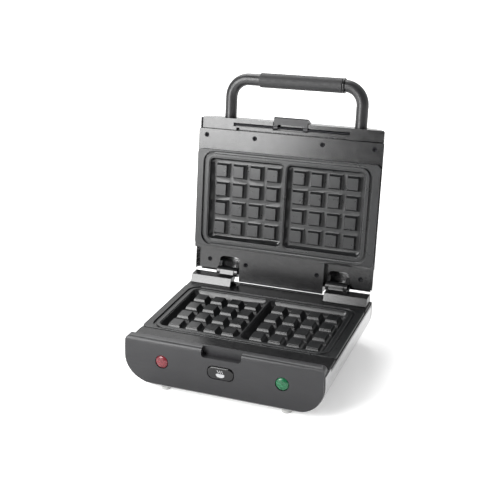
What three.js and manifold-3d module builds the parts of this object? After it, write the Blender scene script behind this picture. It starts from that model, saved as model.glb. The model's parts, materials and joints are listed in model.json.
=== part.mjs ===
// Two-slice waffle maker with a lid that opens about 100 degrees. Millimetres, +Z up, +X to the
// right of someone who faces the front, -Y towards them. Everything is drawn with the lid closed
// and the table at z = 0; the lid group is then turned open about its hinge line, and the whole
// appliance is moved so that the middle of its footprint is at the origin.
import * as THREE from 'three';
import { mergeVertices } from 'three/addons/utils/BufferGeometryUtils.js';
import Module from 'manifold-3d';

const wasm = await Module();
wasm.setup();

// ---------------------------------------------------------------- driving dimensions
const CLEAR = 0.3;              // gap between pieces that touch
const SHEET = 0.8;              // steel sheet thickness
const BODY_WIDTH = 231.2;       // outside of the steel shells
const BODY_CORNER = 34;         // lower corners of the base, seen from the front

// Baking plates; the middle of the lower plate is x = 0, y = 0
const PLATE_INSET = 1.1;        // plate edge inside the body's sides
const PLATE_DEPTH = 120.8;      // across y
const PLATE_CORNER = 5;
const FLANGE_TOP = 54.9;        // height of the lower plate's rim over the table
const PLATE_GAP = 0.6;          // between the two rims when the lid is closed
const LOWER_FLANGE = 2.6;       // rim thickness
const UPPER_FLANGE = 3.7;
const PLATE_WALL = 3;           // casting under the cavities
const RIM_X = 16.5;             // plate edge to cavity
const RIM_Y = 9.9;
const DIVIDER = 3.2;            // wall between the two cavities
const CAVITY_CORNER = 6;
const CAVITY_DRAFT = 2.8;
const LEDGE_WIDTH = 1.4;        // step just outside the cavities
const LEDGE_DEPTH = 0.9;
const RIDGE_WIDTH = 3.6;
const GROOVE_WIDTH = 3.2;       // drip groove around both cavities
const GROOVE_FLOOR = 0.8;       // flange left under the groove
const STUD_COLUMNS = 4;
const STUD_ROWS = 4;
const STUD_MARGIN_X = 4.2;      // half a pitch of the end studs to the cavity wall
const STUD_MARGIN_Y = 3.6;
const STUD_SINK = 1.9;          // stud tops below the rim
const STUD_HEIGHT = 7.5;
const STUD_TOP_X = 13.2;
const STUD_TOP_Y = 13.9;
const STUD_DRAFT = 2.6;         // how far each stud widens on each side, top to bottom
const HALF_DEPTH = PLATE_DEPTH / 2;
const PLATE_WIDTH = BODY_WIDTH - 2 * PLATE_INSET;
const CAVITY_HALF_X = (PLATE_WIDTH / 2 - RIM_X - DIVIDER / 2) / 2;
const CAVITY_HALF_Y = HALF_DEPTH - RIM_Y;
const CAVITY_X = DIVIDER / 2 + CAVITY_HALF_X;      // middle of each waffle cavity
const COLUMN_PITCH = 2 * (CAVITY_HALF_X - STUD_MARGIN_X) / STUD_COLUMNS;
const ROW_PITCH = 2 * (CAVITY_HALF_Y - STUD_MARGIN_Y) / STUD_ROWS;

// Base housing
const SHELL_BOTTOM = 5.3;
const DECK_TOP = FLANGE_TOP - 0.9;
const DECK_THICKNESS = 3;
const DECK_SKIRT = 4.5;
const SHELL_TOP = DECK_TOP - DECK_SKIRT - CLEAR;   // side walls beside the plate
const SHELL_FRONT_TOP = DECK_TOP - 1;              // side walls beside the front shelf
const SHELL_FRONT = -HALF_DEPTH - 38;
const SHOULDER_BACK = -HALF_DEPTH - 19.5;          // where the shell steps down beside the plate
const BASE_BACK = HALF_DEPTH + 23.6;               // rear end of the shell and the deck
const REAR_WALL = 4;

// Cord inlet
const GLAND_X = -72;
const GLAND_Z = 24;
const GLAND_RADIUS = 5.5;
const CORD_RADIUS = 2.6;

// Front panel
const PANEL_BACK = -HALF_DEPTH - 29.5;
const PANEL_TOP = DECK_TOP + 8;
const PANEL_TOP_FACE = PANEL_BACK - 9;
const PANEL_BELLY = 4;          // how far its face bulges between its top edge and middle
const PANEL_WALL = 2.6;
const BORE_END = PANEL_BACK - 4.1;                 // how far the control bores run back
const PANEL_UPPER_CORNER = 5;
const NOTCH_HALF = 23;          // recess that the lid latch swings into
const NOTCH_FLOOR = DECK_TOP - 2;
const NOTCH_BACK = PANEL_BACK - 2.9;
const NOTCH_CORNER = 3.5;

// Controls
const LAMP_X = 69.5;
const LAMP_HEIGHT = 38;
const LAMP_RADIUS = 7.5;
const BUTTON_WIDTH = 30;
const BUTTON_TALL = 14.5;
const BUTTON_HEIGHT = 37;
const BUTTON_TRAVEL = 2.5;
const BUTTON_GAP = 0.6;

// Lid housing
const LID_WIDTH = BODY_WIDTH;
const LID_CORNER = 33;
const LID_FRAME = FLANGE_TOP + PLATE_GAP + UPPER_FLANGE + CLEAR;   // underside of the lid frame
const FRAME_THICKNESS = 2.5;
const TUBE_RADIUS = 7.3;        // handle tube, which sets how thick the lid is
const FRAME_FRONT = -HALF_DEPTH - 24.6;
const LID_TOP = LID_FRAME + 2 * TUBE_RADIUS + 15.4;
const LID_BAND = LID_FRAME + 5.5;                  // underside of the lid's front panel
const LID_FACE = PANEL_TOP_FACE;
const LID_PANEL_BACK = FRAME_FRONT - 0.4;
const SHADOW_GAP = 3.2;         // slot between the front panel and the frame
const SHADOW_GAP_HALF = 69;
const LID_BACK = HALF_DEPTH + 31.6;
const REAR_STRIP = LID_FRAME + 8.9;                // underside of the lid frame over the hinge blocks
const CENTRE_HALF = 54.5;       // lid frame between the hinges

// Hinges
const BLOCK_FRONT = HALF_DEPTH + 8.6;
const BLOCK_BACK = BLOCK_FRONT + 19.6;
const BLOCK_TOP = DECK_TOP + 9.8;
const BLOCK_SLOPE = 5;          // how far the front of a hinge block leans back
const BLOCK_IN = 60;
const BLOCK_OUT = LID_WIDTH / 2 - SHEET - 1.8;
const HINGE_Y = BLOCK_BACK + 3.3;
const HINGE_Z = BLOCK_TOP + 1.3;
const OPEN_ANGLE = 100.2;       // how far the lid stands open, degrees
const BARREL_RADIUS = 6.3;
const PIN_RADIUS = 2;
const BORE_CLEAR = 0.35;        // radial play of a pin in its bore
const BARREL_IN = BLOCK_IN + 2;                    // barrel ends, across x
const BARREL_OUT = 80;
const EAR = 4;                  // thickness of a lid ear
const EAR_PLAY = 0.5;           // side play of a lid ear
const ARCH_FRONT = HINGE_Y - BARREL_RADIUS - 11.9;
const CENTRE_BACK = HINGE_Y + 7.6;

// Handle
const TUBE_WALL = 1.5;
const TUBE_PLUG = 12;           // threaded plug in each end of the tube
const HANDLE_X = 82.2;
const HANDLE_Z = LID_FRAME + TUBE_RADIUS + 11.7;
const HANDLE_Y = LID_FACE - 47.3;
const HANDLE_BEND = 22;
const HANDLE_END = LID_FACE + 18.9;
const GRIP_WALL = 1.3;
const GRIP_FROM = -45.2;
const GRIP_TO = 57.9;
const GRIP_RADIUS = TUBE_RADIUS + CLEAR + GRIP_WALL;
const BOLT_RADIUS = 2.5;
const BRACKET_THICKNESS = 2;

// Latch
const LATCH_HALF = 21.2;
const LATCH_ROD = 1.5;
const LATCH_ROD_HALF = 72.5;
const LATCH_REACH = 12.85;
const LATCH_HUB = LATCH_ROD + BORE_CLEAR + 0.75;
const LATCH_Y = LID_FACE + 6.85;
const LATCH_Z = LID_BAND + 1.9;
const LATCH_ARM = 5;            // width of each arm between the flap and its rod
const LATCH_RISE = 12;          // finger wedge above the rod, lid closed

// Feet and screws
const FOOT_X = 71;
const FOOT_FRONT = PANEL_BACK - 2.1;
const FOOT_BACK = BASE_BACK - 12;
const FOOT_RADIUS = 6;
const SCREW_HEAD = 2.8;
const SCREW_SHANK = 1.5;
const SCREW_LENGTH = 6;
const SCREW_SINK = 0.6;         // head's rim below the face it is sunk in

// Cutting blocks and rods run past everything
const FAR = 200;
const FAR_FRONT = -120;

// ---------------------------------------------------------------- materials
const finish = (color, roughness, metalness) =>
  new THREE.MeshStandardMaterial({ color, roughness, metalness });
const STEEL = finish(0xc9cacc, 0.28, 1.0);
const BLACK_PLASTIC = finish(0x2b2b2c, 0.4, 0.0);
const GREY_PLASTIC = finish(0x4a4a4b, 0.45, 0.0);
const GLOSS_BLACK = finish(0x121213, 0.15, 0.0);
const NONSTICK = finish(0x3a3a3b, 0.4, 0.2);
const COATED_TUBE = finish(0x4c4c4e, 0.35, 0.2);
const RUBBER = finish(0xb9b9b9, 0.8, 0.0);
const RED_LENS = finish(0xa8323c, 0.2, 0.0);
const GREEN_LENS = finish(0x14824f, 0.2, 0.0);
const WHITE_PLASTIC = finish(0xd8d6cf, 0.5, 0.0);
const DARK_STEEL = finish(0x55565a, 0.35, 1.0);

// ---------------------------------------------------------------- solids
function solid(geometry) {
  geometry.deleteAttribute('normal');
  geometry.deleteAttribute('uv');
  const merged = mergeVertices(geometry);
  return new wasm.Manifold(new wasm.Mesh({
    numProp: 3,
    vertProperties: new Float32Array(merged.attributes.position.array),
    triVerts: new Uint32Array(merged.index.array),
  }));
}

function geometryOf(body) {
  const { vertProperties, triVerts } = body.getMesh();
  const geometry = new THREE.BufferGeometry();
  geometry.setAttribute('position', new THREE.BufferAttribute(vertProperties, 3));
  geometry.setIndex(new THREE.BufferAttribute(triVerts, 1));
  geometry.computeVertexNormals();
  return geometry;
}

function box(x0, x1, y0, y1, z0, z1) {
  const geometry = new THREE.BoxGeometry(x1 - x0, y1 - y0, z1 - z0);
  geometry.translate((x0 + x1) / 2, (y0 + y1) / 2, (z0 + z1) / 2);
  return solid(geometry);
}

// A flat outline made thick: along z it is drawn in x and y, along y in x and z,
// and along x in y and z.
const TURN = {
  z: new THREE.Matrix4(),
  y: new THREE.Matrix4().makeBasis(
    new THREE.Vector3(1, 0, 0), new THREE.Vector3(0, 0, 1), new THREE.Vector3(0, -1, 0)),
  x: new THREE.Matrix4().makeBasis(
    new THREE.Vector3(0, 1, 0), new THREE.Vector3(0, 0, 1), new THREE.Vector3(1, 0, 0)),
};

function prism(axis, outline, from, to, curveSegments = 6) {
  const geometry = new THREE.ExtrudeGeometry(outline,
    { depth: to - from, bevelEnabled: false, curveSegments });
  geometry.translate(0, 0, axis === 'y' ? -to : from);
  geometry.applyMatrix4(TURN[axis]);
  return solid(geometry);
}

function polygon(points) {
  return new THREE.Shape(points.map(([a, b]) => new THREE.Vector2(a, b)));
}

function rectangle(halfA, halfB) {
  return polygon([[-halfA, -halfB], [halfA, -halfB], [halfA, halfB], [-halfA, halfB]]);
}

function disc(a, b, radius) {
  return new THREE.Shape().absarc(a, b, radius, 0, 2 * Math.PI, false);
}

function rod(axis, a, b, radius, from, to, curveSegments = 8) {
  return prism(axis, disc(a, b, radius), from, to, curveSegments);
}

// Rectangle about a middle point, with its lower and upper corners rounded apart.
function roundRect(a, b, halfA, halfB, lower, upper = lower) {
  const shape = new THREE.Shape();
  shape.moveTo(a - halfA + lower, b - halfB);
  shape.lineTo(a + halfA - lower, b - halfB);
  shape.absarc(a + halfA - lower, b - halfB + lower, lower, -Math.PI / 2, 0, false);
  shape.lineTo(a + halfA, b + halfB - upper);
  shape.absarc(a + halfA - upper, b + halfB - upper, upper, 0, Math.PI / 2, false);
  shape.lineTo(a - halfA + upper, b + halfB);
  shape.absarc(a - halfA + upper, b + halfB - upper, upper, Math.PI / 2, Math.PI, false);
  shape.lineTo(a - halfA, b - halfB + lower);
  shape.absarc(a - halfA + lower, b - halfB + lower, lower, Math.PI, 1.5 * Math.PI, false);
  return shape;
}

// A block with its top larger or smaller than its bottom; both are centred.
function tapered(outline, z0, z1, scaleX, scaleY, curveSegments = 3) {
  const geometry = new THREE.ExtrudeGeometry(outline,
    { depth: 1, bevelEnabled: false, curveSegments });
  const place = geometry.attributes.position;
  for (let i = 0; i < place.count; i += 1) {
    const top = place.getZ(i) > 0.5;
    place.setXYZ(i,
      place.getX(i) * (top ? scaleX : 1),
      place.getY(i) * (top ? scaleY : 1),
      top ? z1 : z0);
  }
  return solid(geometry);
}

// Turned about the z axis from a profile of radius and height.
function turned(profile, segments = 16) {
  const geometry = new THREE.LatheGeometry(profile.map(([r, z]) => new THREE.Vector2(r, z)), segments);
  return solid(geometry.rotateX(Math.PI / 2));
}

function part(name, body, material, x = 0, y = 0, z = 0) {
  const mesh = new THREE.Mesh(geometryOf(body), material);
  mesh.name = name;
  mesh.position.set(x, y, z);
  return mesh;
}

const both = [['left', -1], ['right', 1]];
// The span of x on one side of the middle, in rising order.
const sideSpan = (side, inner, outer) => (side > 0 ? [inner, outer] : [-outer, -inner]);

// ---------------------------------------------------------------- baking plates
// Drawn face up with the rim's top at z = 0.
const STUD_SPAN = COLUMN_PITCH * (STUD_COLUMNS - 1);
const PAN_HALF_X = CAVITY_X + CAVITY_HALF_X + PLATE_WALL;
const PAN_HALF_Y = CAVITY_HALF_Y + PLATE_WALL;
const CAVITY_FLOOR = -STUD_SINK - STUD_HEIGHT;
const PAN_BOTTOM = CAVITY_FLOOR - PLATE_WALL;

function ring(outerX, outerY, outerCorner, width, depth) {
  const outer = prism('z', roundRect(0, 0, outerX, outerY, outerCorner), -depth, 1, 3);
  const inner = prism('z', roundRect(0, 0, outerX - width, outerY - width, outerCorner - width),
    -depth - 1, 2, 3);
  return outer.subtract(inner);
}

function grillPlate(flange) {
  const edgeX = CAVITY_X + CAVITY_HALF_X;
  let plate = prism('z', roundRect(0, 0, PLATE_WIDTH / 2, HALF_DEPTH, PLATE_CORNER), -flange, 0, 4)
    .add(prism('z', roundRect(0, 0, PAN_HALF_X, PAN_HALF_Y, CAVITY_CORNER + PLATE_WALL),
      PAN_BOTTOM, -1, 4));
  const reach = LEDGE_WIDTH + RIDGE_WIDTH + GROOVE_WIDTH;
  plate = plate.subtract(ring(edgeX + reach, CAVITY_HALF_Y + reach, CAVITY_CORNER + reach,
    GROOVE_WIDTH, flange - GROOVE_FLOOR));
  for (const [, side] of both) {
    const ledge = roundRect(side * CAVITY_X, 0, CAVITY_HALF_X + LEDGE_WIDTH / 2,
      CAVITY_HALF_Y + LEDGE_WIDTH, CAVITY_CORNER + LEDGE_WIDTH);
    plate = plate.subtract(prism('z', ledge, -LEDGE_DEPTH, 1, 3));
    const floorX = CAVITY_HALF_X - CAVITY_DRAFT;
    const floorY = CAVITY_HALF_Y - CAVITY_DRAFT;
    const cavity = tapered(roundRect(0, 0, floorX, floorY, CAVITY_CORNER - 1),
      CAVITY_FLOOR, 0.01, CAVITY_HALF_X / floorX, CAVITY_HALF_Y / floorY);
    plate = plate.subtract(cavity.translate([side * CAVITY_X, 0, 0]));
    const footX = STUD_TOP_X / 2 + STUD_DRAFT;
    const footY = STUD_TOP_Y / 2 + STUD_DRAFT;
    const stud = tapered(rectangle(footX, footY),
      CAVITY_FLOOR - 0.5, -STUD_SINK, STUD_TOP_X / 2 / footX, STUD_TOP_Y / 2 / footY);
    for (let column = 0; column < STUD_COLUMNS; column += 1) {
      for (let row = 0; row < STUD_ROWS; row += 1) {
        const x = side * (CAVITY_X - STUD_SPAN / 2 + column * COLUMN_PITCH);
        const y = (row - (STUD_ROWS - 1) / 2) * ROW_PITCH;
        plate = plate.add(stud.translate([x, y, 0]));
      }
    }
  }
  return plate;
}

// Tubular heater: a loop under each cavity, with its two cold ends side by side at the back.
const HEATER_RADIUS = 3.2;
const HEATER_X = 80;
const HEATER_Y = 34;
const HEATER_BEND = 16;
const HEATER_TAIL = 58;
const HEATER_SPLIT = 12;

function heater() {
  const path = new THREE.CurvePath();
  const corner = (x, y, dx, dy) => new THREE.QuadraticBezierCurve3(
    new THREE.Vector3(x - dx[0] * HEATER_BEND, y - dx[1] * HEATER_BEND, 0),
    new THREE.Vector3(x, y, 0),
    new THREE.Vector3(x + dy[0] * HEATER_BEND, y + dy[1] * HEATER_BEND, 0));
  const line = (x0, y0, x1, y1) => new THREE.LineCurve3(
    new THREE.Vector3(x0, y0, 0), new THREE.Vector3(x1, y1, 0));
  path.add(line(-HEATER_SPLIT, HEATER_TAIL, -HEATER_SPLIT, HEATER_Y + HEATER_BEND));
  path.add(corner(-HEATER_SPLIT, HEATER_Y, [0, -1], [-1, 0]));
  path.add(line(-HEATER_SPLIT - HEATER_BEND, HEATER_Y, -HEATER_X + HEATER_BEND, HEATER_Y));
  path.add(corner(-HEATER_X, HEATER_Y, [-1, 0], [0, -1]));
  path.add(line(-HEATER_X, HEATER_Y - HEATER_BEND, -HEATER_X, -HEATER_Y + HEATER_BEND));
  path.add(corner(-HEATER_X, -HEATER_Y, [0, -1], [1, 0]));
  path.add(line(-HEATER_X + HEATER_BEND, -HEATER_Y, HEATER_X - HEATER_BEND, -HEATER_Y));
  path.add(corner(HEATER_X, -HEATER_Y, [1, 0], [0, 1]));
  path.add(line(HEATER_X, -HEATER_Y + HEATER_BEND, HEATER_X, HEATER_Y - HEATER_BEND));
  path.add(corner(HEATER_X, HEATER_Y, [0, 1], [-1, 0]));
  path.add(line(HEATER_X - HEATER_BEND, HEATER_Y, HEATER_SPLIT + HEATER_BEND, HEATER_Y));
  path.add(corner(HEATER_SPLIT, HEATER_Y, [-1, 0], [0, 1]));
  path.add(line(HEATER_SPLIT, HEATER_Y + HEATER_BEND, HEATER_SPLIT, HEATER_TAIL));
  return solid(new THREE.ExtrudeGeometry(disc(0, 0, HEATER_RADIUS),
    { steps: 44, extrudePath: path, bevelEnabled: false, curveSegments: 4 }));
}

// Pressed tray that keeps the heat off the housing; open towards the plate.
const TRAY_HALF_X = 94;
const TRAY_HALF_Y = 50;
const TRAY_WALL = 0.8;

function tray(floor, rim) {
  const outer = prism('z', roundRect(0, 0, TRAY_HALF_X, TRAY_HALF_Y, 8), floor, rim, 3);
  const inner = prism('z', roundRect(0, 0, TRAY_HALF_X - TRAY_WALL, TRAY_HALF_Y - TRAY_WALL, 7),
    floor + TRAY_WALL, rim + 1, 3);
  const tails = box(-HEATER_SPLIT - 6, HEATER_SPLIT + 6, TRAY_HALF_Y - 2, TRAY_HALF_Y + 1,
    floor + TRAY_WALL, rim + 1);
  return outer.subtract(inner).subtract(tails);
}

// ---------------------------------------------------------------- base housing
const shellHalf = BODY_WIDTH / 2;
const shellOutline = (inset, top) => roundRect(0, (SHELL_BOTTOM + inset + top) / 2, shellHalf - inset,
  (top - SHELL_BOTTOM - inset) / 2, BODY_CORNER - inset, 0.01);

function baseShell() {
  const tall = SHELL_FRONT_TOP + 30;
  let shell = prism('y', shellOutline(0, tall), SHELL_FRONT, BASE_BACK, 8)
    .subtract(prism('y', shellOutline(SHEET, tall + 1), SHELL_FRONT - 1, BASE_BACK + 1, 8))
    .subtract(box(-FAR, FAR, -FAR, FAR, SHELL_FRONT_TOP, FAR))
    .subtract(box(-FAR, FAR, SHOULDER_BACK, FAR, SHELL_TOP, FAR));
  for (let slot = -2; slot <= 2; slot += 1) {
    shell = shell.subtract(prism('z', roundRect(slot * 16, 20, 2.5, 16, 2.4), 0, SHELL_BOTTOM + 3, 1));
  }
  return shell;
}

// Arc through the face's top edge, its belly and its lower edge, from the top down.
function panelFace() {
  const low = SHELL_BOTTOM + SHEET + CLEAR;
  const steps = 9;
  const points = [];
  for (let i = 0; i <= steps; i += 1) {
    const t = i / steps;
    const z = PANEL_TOP - 3 - t * (PANEL_TOP - 4.5 - low);
    const bulge = PANEL_BELLY * Math.sin(Math.PI * Math.min(1, 0.06 + 0.8 * t));
    points.push([PANEL_TOP_FACE - bulge, z]);
  }
  return points;
}

function frontPanel() {
  const low = SHELL_BOTTOM + SHEET + CLEAR;
  const face = panelFace();
  const profile = polygon([[PANEL_BACK, PANEL_TOP], [PANEL_TOP_FACE + 3, PANEL_TOP],
    [PANEL_TOP_FACE + 1, PANEL_TOP - 0.9], ...face, [face.at(-1)[0] + 1.5, low],
    [PANEL_BACK, low]]);
  const half = shellHalf - SHEET - CLEAR;
  const corner = BODY_CORNER - SHEET - CLEAR;
  const middle = (PANEL_TOP + low) / 2;
  let panel = prism('x', profile, -half, half)
    .intersect(prism('y', roundRect(0, middle, half, (PANEL_TOP - low) / 2, corner, PANEL_UPPER_CORNER),
      FAR_FRONT, PANEL_BACK, 8));
  const pocketTop = NOTCH_FLOOR - PANEL_WALL;
  const pocketLow = low + PANEL_WALL;
  panel = panel.subtract(prism('y', roundRect(0, (pocketTop + pocketLow) / 2, half - PANEL_WALL,
    (pocketTop - pocketLow) / 2, corner - PANEL_WALL - 8, 3), PANEL_TOP_FACE + 1.2, PANEL_BACK + 1, 4));
  const notchHalf = (PANEL_TOP + 1 - NOTCH_FLOOR) / 2;
  panel = panel.subtract(prism('y', roundRect(0, NOTCH_FLOOR + notchHalf, NOTCH_HALF, notchHalf,
    NOTCH_CORNER, 0.01), FAR_FRONT, NOTCH_BACK, 4));
  panel = panel.subtract(prism('y', roundRect(0, BUTTON_HEIGHT, BUTTON_WIDTH / 2 + BUTTON_GAP,
    BUTTON_TALL / 2 + BUTTON_GAP, BUTTON_TALL / 2 - 0.5), FAR_FRONT, BORE_END, 5));
  for (const [, side] of both) {
    panel = panel.subtract(rod('y', side * LAMP_X, LAMP_HEIGHT, LAMP_RADIUS + CLEAR,
      FAR_FRONT, BORE_END));
  }
  return panel;
}

function deckFrame() {
  const inside = shellHalf - SHEET - CLEAR;
  const low = DECK_TOP - DECK_THICKNESS;
  const seat = FLANGE_TOP - LOWER_FLANGE - CLEAR;
  const front = PANEL_BACK + CLEAR;
  const plateEdge = HALF_DEPTH + CLEAR;
  const skirtLow = DECK_TOP - DECK_SKIRT;
  return box(-inside, inside, front, -plateEdge, low, DECK_TOP)
    .add(box(-inside, inside, plateEdge, BASE_BACK, low, DECK_TOP))
    .add(box(-inside, inside, -plateEdge, plateEdge, low - 1, seat))
    .add(box(-shellHalf, shellHalf, SHOULDER_BACK + CLEAR, BASE_BACK, skirtLow, seat))
    .subtract(box(-inside + 2, inside - 2, front + 2, BASE_BACK - 2, skirtLow - 1, low - 1))
    .subtract(box(-inside + 2, inside - 2, front + 2, -plateEdge - 2, skirtLow - 1, low))
    .subtract(prism('z', roundRect(0, 0, PAN_HALF_X + 1.5, PAN_HALF_Y + 1.5, 9), 0, 100, 4));
}

function rearPanel() {
  const low = SHELL_BOTTOM;
  const back = BASE_BACK + CLEAR;
  const outline = roundRect(0, (DECK_TOP + low) / 2, shellHalf, (DECK_TOP - low) / 2, BODY_CORNER, 2);
  let panel = prism('y', outline, back, back + REAR_WALL, 8);
  panel = panel.subtract(rod('y', GLAND_X, GLAND_Z, GLAND_RADIUS + CLEAR, 0, FAR, 6));
  for (let slot = -2; slot <= 2; slot += 1) {
    panel = panel.subtract(prism('y', roundRect(slot * 12, 26, 2, 9, 1.9), 0, FAR, 1));
  }
  return panel;
}

function cordGland() {
  const inner = -3;
  const outer = REAR_WALL + 3;
  const collar = GLAND_RADIUS + 2.5;
  return turned([[CORD_RADIUS, inner - 3], [collar - 0.5, inner - 3], [collar - 0.5, inner],
    [GLAND_RADIUS, inner], [GLAND_RADIUS, REAR_WALL + 0.4], [collar, REAR_WALL + 0.4],
    [collar - 1, outer], [CORD_RADIUS, outer], [CORD_RADIUS, inner - 3]]);
}

// ---------------------------------------------------------------- hinges
function hingeBlock(side) {
  const base = DECK_TOP + CLEAR;
  const ease = 1.2;
  const profile = polygon([[BLOCK_FRONT, base], [BLOCK_BACK, base], [BLOCK_BACK, BLOCK_TOP - ease],
    [BLOCK_BACK - ease, BLOCK_TOP], [BLOCK_FRONT + BLOCK_SLOPE + 0.8, BLOCK_TOP],
    [BLOCK_FRONT + BLOCK_SLOPE, BLOCK_TOP - 0.6], [BLOCK_FRONT, base + 0.8]]);
  const [x0, x1] = sideSpan(side, BLOCK_IN, BLOCK_OUT);
  const [b0, b1] = sideSpan(side, BARREL_IN, BARREL_OUT);
  const neck = polygon([[BLOCK_BACK - 4, base], [BLOCK_BACK, base],
    [HINGE_Y + 0.72 * BARREL_RADIUS, HINGE_Z - 0.68 * BARREL_RADIUS],
    [HINGE_Y - 0.4 * BARREL_RADIUS, HINGE_Z + 0.9 * BARREL_RADIUS], [BLOCK_BACK - 4, BLOCK_TOP]]);
  const reach = BARREL_RADIUS + 0.7;
  const [i0, i1] = sideSpan(side, BLOCK_IN - 1, BARREL_IN);
  const [o0, o1] = sideSpan(side, BARREL_OUT, BARREL_OUT + EAR + 2 * EAR_PLAY);
  return prism('x', profile, x0, x1)
    .subtract(box(i0, i1, HINGE_Y - reach, FAR, 0, FAR))
    .subtract(box(o0, o1, HINGE_Y - reach, FAR, 0, FAR))
    .add(prism('x', neck, b0, b1))
    .add(rod('x', HINGE_Y, HINGE_Z, BARREL_RADIUS, b0, b1))
    .subtract(rod('x', HINGE_Y, HINGE_Z, PIN_RADIUS + BORE_CLEAR, b0 - 1, b1 + 1, 6));
}

function hingePin(side) {
  const [x0, x1] = sideSpan(side, BARREL_IN - EAR - CLEAR, BARREL_OUT + EAR + 0.8);
  const head = side > 0 ? [x1, x1 + 1.4] : [x0 - 1.4, x0];
  return rod('x', HINGE_Y, HINGE_Z, PIN_RADIUS, x0, x1, 6)
    .add(rod('x', HINGE_Y, HINGE_Z, PIN_RADIUS + 1.2, head[0], head[1], 6));
}

// ---------------------------------------------------------------- lid housing
const lidHalf = LID_WIDTH / 2;
// Upper half of the lid's cross-section: straight sides that turn in to the flat top.
function lidOutline(inset, bottom) {
  const half = lidHalf - inset;
  const corner = LID_CORNER - inset;
  const top = LID_TOP - inset;
  const outline = new THREE.Shape();
  outline.moveTo(-half, bottom);
  outline.lineTo(half, bottom);
  outline.lineTo(half, top - corner);
  outline.absarc(half - corner, top - corner, corner, 0, Math.PI / 2, false);
  outline.lineTo(-half + corner, top);
  outline.absarc(-half + corner, top - corner, corner, Math.PI / 2, Math.PI, false);
  return outline;
}

function lidShell() {
  const bottom = 40;
  return prism('y', lidOutline(0, bottom), LID_FACE + 1, LID_BACK, 8)
    .subtract(prism('y', lidOutline(SHEET, bottom - 1), LID_FACE, LID_BACK + 1, 8))
    .subtract(box(-FAR, FAR, -FAR, FAR, 0, LID_FRAME + FRAME_THICKNESS + CLEAR));
}

function lidFrontPanel() {
  const inset = SHEET + CLEAR;
  const wall = 3;
  let panel = prism('y', lidOutline(inset, 40), LID_FACE, LID_PANEL_BACK, 8)
    .subtract(box(-FAR, FAR, -FAR, FAR, 0, LID_BAND));
  // hollow behind the face
  panel = panel.subtract(prism('y', lidOutline(inset + wall, 40), LID_FACE + wall, LID_PANEL_BACK + 1, 6)
    .subtract(box(-FAR, FAR, -FAR, FAR, 0, LID_BAND + 7)));
  // pocket of the latch, groove of its rod, and the shadow gap along the inner edge
  panel = panel.subtract(box(-LATCH_HALF - 1, LATCH_HALF + 1, FAR_FRONT, LATCH_Y + LATCH_HUB + 0.6,
    LID_BAND - 1, LATCH_Z + LATCH_HUB + 1.6));
  panel = panel.subtract(box(-LATCH_ROD_HALF - CLEAR, LATCH_ROD_HALF + CLEAR, LATCH_Y - LATCH_ROD - 0.7,
    LATCH_Y + LATCH_ROD + 0.7, LID_BAND - 1, LATCH_Z + LATCH_ROD + CLEAR));
  panel = panel.subtract(box(-SHADOW_GAP_HALF, SHADOW_GAP_HALF, LID_PANEL_BACK - SHADOW_GAP,
    LID_PANEL_BACK + 1, LID_BAND - 1, LID_BAND + 5));
  for (const [, side] of both) {
    panel = panel.subtract(rod('y', side * HANDLE_X, HANDLE_Z, TUBE_RADIUS + CLEAR + 0.1,
      FAR_FRONT, 0, 12));
  }
  return panel;
}

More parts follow.
